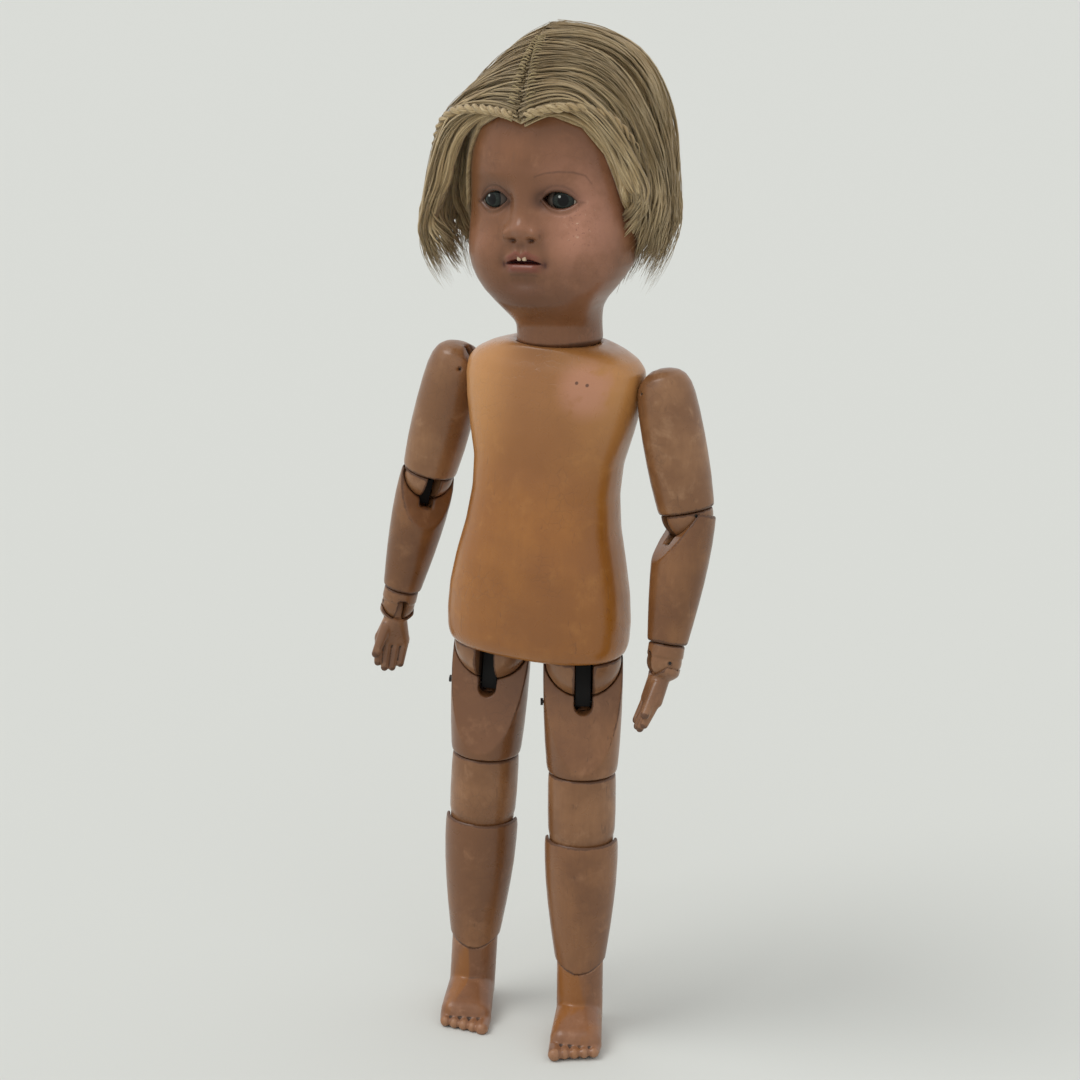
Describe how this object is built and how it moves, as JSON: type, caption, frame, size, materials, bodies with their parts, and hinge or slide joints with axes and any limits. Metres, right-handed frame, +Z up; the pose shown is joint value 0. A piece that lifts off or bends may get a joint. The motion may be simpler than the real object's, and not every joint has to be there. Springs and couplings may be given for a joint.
{
  "type": "jointed wooden doll",
  "caption": "Standing carved wooden child doll with a sewn mohair wig and sprung ball joints at neck, shoulders, elbows, wrists, hips, knees and ankles.",
  "frame": {"origin": "on the floor, below the middle of the whole doll's box", "axes": "+Z up, -Y the way the face looks, +X to the doll's own left"},
  "size_m": [0.1732, 0.1032, 0.4827],
  "materials": {
    "torso_enamel": "hand-brushed oil enamel on turned basswood, worn and crazed, orange tan, glossy",
    "face_enamel": "carved basswood, painted flesh, satin and scuffed",
    "limb_enamel": "hand-brushed oil enamel on turned basswood, worn and crazed, brown pink",
    "eye_paint": "carved domes with painted grey-green irises under clear varnish",
    "tooth_paint": "painted ivory white, satin",
    "mohair": "ash-blond mohair sewn to a cap, with a stitched centre parting",
    "spring_steel": "dull spring steel",
    "dark_steel": "blackened steel, dull with a little rust"
  },
  "bodies": {
    "torso": {"torso": "torso_enamel", "torso_springs": "spring_steel"},
    "neck_link": {"neck_link": "spring_steel"},
    "head": {"head": "face_enamel", "neck_pin": "spring_steel", "eyes": "eye_paint", "teeth": "tooth_paint", "wig": "mohair"},
    "left_shoulder_link": {"left_shoulder_link": "spring_steel"},
    "left_upper_arm": {"left_upper_arm": "limb_enamel", "left_shoulder_pin": "dark_steel", "left_elbow_spring": "spring_steel"},
    "left_elbow_ball": {"left_elbow_ball": "limb_enamel", "left_elbow_rod": "spring_steel", "left_elbow_pin": "dark_steel"},
    "left_forearm": {"left_forearm": "limb_enamel", "left_elbow_link": "dark_steel"},
    "left_wrist_block": {"left_wrist_block": "limb_enamel", "left_wrist_rod": "spring_steel", "left_wrist_pin": "dark_steel"},
    "left_hand": {"left_hand": "limb_enamel"},
    "left_hip_ball": {"left_hip_ball": "limb_enamel", "left_hip_rod": "spring_steel", "left_hip_pin": "dark_steel"},
    "left_thigh": {"left_thigh": "limb_enamel", "left_hip_link": "dark_steel", "left_thigh_nail": "dark_steel"},
    "left_knee_block": {"left_knee_block": "limb_enamel", "left_knee_rod": "spring_steel", "left_knee_pin": "dark_steel"},
    "left_calf": {"left_calf": "limb_enamel", "left_calf_rod": "spring_steel"},
    "left_foot": {"left_foot": "limb_enamel", "left_ankle_pin": "spring_steel"},
    "right_shoulder_link": {"right_shoulder_link": "spring_steel"},
    "right_upper_arm": {"right_upper_arm": "limb_enamel", "right_shoulder_pin": "dark_steel", "right_elbow_spring": "spring_steel"},
    "right_elbow_ball": {"right_elbow_ball": "limb_enamel", "right_elbow_rod": "spring_steel", "right_elbow_pin": "dark_steel"},
    "right_forearm": {"right_forearm": "limb_enamel", "right_elbow_link": "dark_steel"},
    "right_wrist_block": {"right_wrist_block": "limb_enamel", "right_wrist_rod": "spring_steel", "right_wrist_pin": "dark_steel"},
    "right_hand": {"right_hand": "limb_enamel"},
    "right_hip_ball": {"right_hip_ball": "limb_enamel", "right_hip_rod": "spring_steel", "right_hip_pin": "dark_steel"},
    "right_thigh": {"right_thigh": "limb_enamel", "right_hip_link": "dark_steel", "right_thigh_nail": "dark_steel"},
    "right_knee_block": {"right_knee_block": "limb_enamel", "right_knee_rod": "spring_steel", "right_knee_pin": "dark_steel"},
    "right_calf": {"right_calf": "limb_enamel", "right_calf_rod": "spring_steel"},
    "right_foot": {"right_foot": "limb_enamel", "right_ankle_pin": "spring_steel"}
  },
  "joints": [
    {"name": "neck_swivel", "type": "hinge", "parent": "torso", "child": "neck_link", "pos_m": [0.00466, -0.00368, 0.35195], "axis": [-0.0698, 0, 0.9976], "range_deg": [-60, 60]},
    {"name": "head_nod", "type": "hinge", "parent": "neck_link", "child": "head", "pos_m": [0.00466, -0.00368, 0.35195], "axis": [0.9976, 0, 0.0698], "range_deg": [-10, 10]},
    {"name": "left_shoulder_swivel", "type": "hinge", "parent": "torso", "child": "left_shoulder_link", "pos_m": [0.05216, -0.00168, 0.319], "axis": [-1, 0, 0], "range_deg": [-50, 100]},
    {"name": "left_arm_raise", "type": "hinge", "parent": "left_shoulder_link", "child": "left_upper_arm", "pos_m": [0.05216, -0.00168, 0.319], "axis": [0, -1, 0], "range_deg": [0, 30]},
    {"name": "left_elbow_swivel", "type": "hinge", "parent": "left_upper_arm", "child": "left_elbow_ball", "pos_m": [0.07311, -0.00168, 0.26393], "axis": [-0.2419, 0, 0.9703], "range_deg": [-25, 75]},
    {"name": "left_elbow_bend", "type": "hinge", "parent": "left_elbow_ball", "child": "left_forearm", "pos_m": [0.07311, -0.00168, 0.26393], "axis": [-0.6861, 0.7071, -0.1711], "range_deg": [-20, 18]},
    {"name": "left_wrist_swivel", "type": "hinge", "parent": "left_forearm", "child": "left_wrist_block", "pos_m": [0.0726, -0.01825, 0.19747], "axis": [0.0073, 0.2418, 0.9703], "range_deg": [-60, 60]},
    {"name": "left_wrist_bend", "type": "hinge", "parent": "left_wrist_block", "child": "left_hand", "pos_m": [0.0726, -0.01825, 0.19747], "axis": [-0.6861, 0.7071, -0.1711], "range_deg": [-10, 25]},
    {"name": "left_hip_swivel", "type": "hinge", "parent": "torso", "child": "left_hip_ball", "pos_m": [0.02896, -0.01368, 0.19], "axis": [-0.0314, 0, 0.9995], "range_deg": [-48, 7]},
    {"name": "left_hip_bend", "type": "hinge", "parent": "left_hip_ball", "child": "left_thigh", "pos_m": [0.02896, -0.01368, 0.19], "axis": [-0.8825, -0.4695, -0.0277], "range_deg": [0, 70]},
    {"name": "left_knee_swivel", "type": "hinge", "parent": "left_thigh", "child": "left_knee_block", "pos_m": [0.03176, -0.01368, 0.10104], "axis": [-0.0314, 0, 0.9995], "range_deg": [-20, 20]},
    {"name": "left_knee_bend", "type": "hinge", "parent": "left_knee_block", "child": "left_calf", "pos_m": [0.03176, -0.01368, 0.10104], "axis": [0.9267, 0.3746, 0.0291], "range_deg": [0, 60]},
    {"name": "left_ankle_bend", "type": "hinge", "parent": "left_calf", "child": "left_foot", "pos_m": [0.03424, -0.01368, 0.02208], "axis": [-0.9267, -0.3746, -0.0291], "range_deg": [-20, 20]},
    {"name": "right_shoulder_swivel", "type": "hinge", "parent": "torso", "child": "right_shoulder_link", "pos_m": [-0.04284, -0.00168, 0.319], "axis": [-1, 0, 0], "range_deg": [-50, 100]},
    {"name": "right_arm_raise", "type": "hinge", "parent": "right_shoulder_link", "child": "right_upper_arm", "pos_m": [-0.04284, -0.00168, 0.319], "axis": [0, 1, 0], "range_deg": [0, 30]},
    {"name": "right_elbow_swivel", "type": "hinge", "parent": "right_upper_arm", "child": "right_elbow_ball", "pos_m": [-0.06378, -0.00168, 0.26393], "axis": [-0.2419, 0, -0.9703], "range_deg": [-25, 75]},
    {"name": "right_elbow_bend", "type": "hinge", "parent": "right_elbow_ball", "child": "right_forearm", "pos_m": [-0.06378, -0.00168, 0.26393], "axis": [-0.6861, -0.7071, 0.1711], "range_deg": [-3, 35]},
    {"name": "right_wrist_swivel", "type": "hinge", "parent": "right_forearm", "child": "right_wrist_block", "pos_m": [-0.07787, -0.00421, 0.19694], "axis": [-0.2057, -0.037, -0.9779], "range_deg": [-60, 60]},
    {"name": "right_wrist_bend", "type": "hinge", "parent": "right_wrist_block", "child": "right_hand", "pos_m": [-0.07787, -0.00421, 0.19694], "axis": [-0.6861, -0.7071, 0.1711], "range_deg": [-10, 25]},
    {"name": "right_hip_swivel", "type": "hinge", "parent": "torso", "child": "right_hip_ball", "pos_m": [-0.01964, -0.01368, 0.19], "axis": [0.0314, 0, 0.9995], "range_deg": [-36, 19]},
    {"name": "right_hip_bend", "type": "hinge", "parent": "right_hip_ball", "child": "right_thigh", "pos_m": [-0.01964, -0.01368, 0.19], "axis": [-0.9608, -0.2756, 0.0302], "range_deg": [0, 70]},
    {"name": "right_knee_swivel", "type": "hinge", "parent": "right_thigh", "child": "right_knee_block", "pos_m": [-0.02244, -0.01368, 0.10104], "axis": [0.0314, 0, 0.9995], "range_deg": [-20, 20]},
    {"name": "right_knee_bend", "type": "hinge", "parent": "right_knee_block", "child": "right_calf", "pos_m": [-0.02244, -0.01368, 0.10104], "axis": [0.9267, 0.3746, -0.0291], "range_deg": [0, 60]},
    {"name": "right_ankle_bend", "type": "hinge", "parent": "right_calf", "child": "right_foot", "pos_m": [-0.02492, -0.01368, 0.02208], "axis": [-0.9267, -0.3746, 0.0291], "range_deg": [-20, 20]}
  ]
}
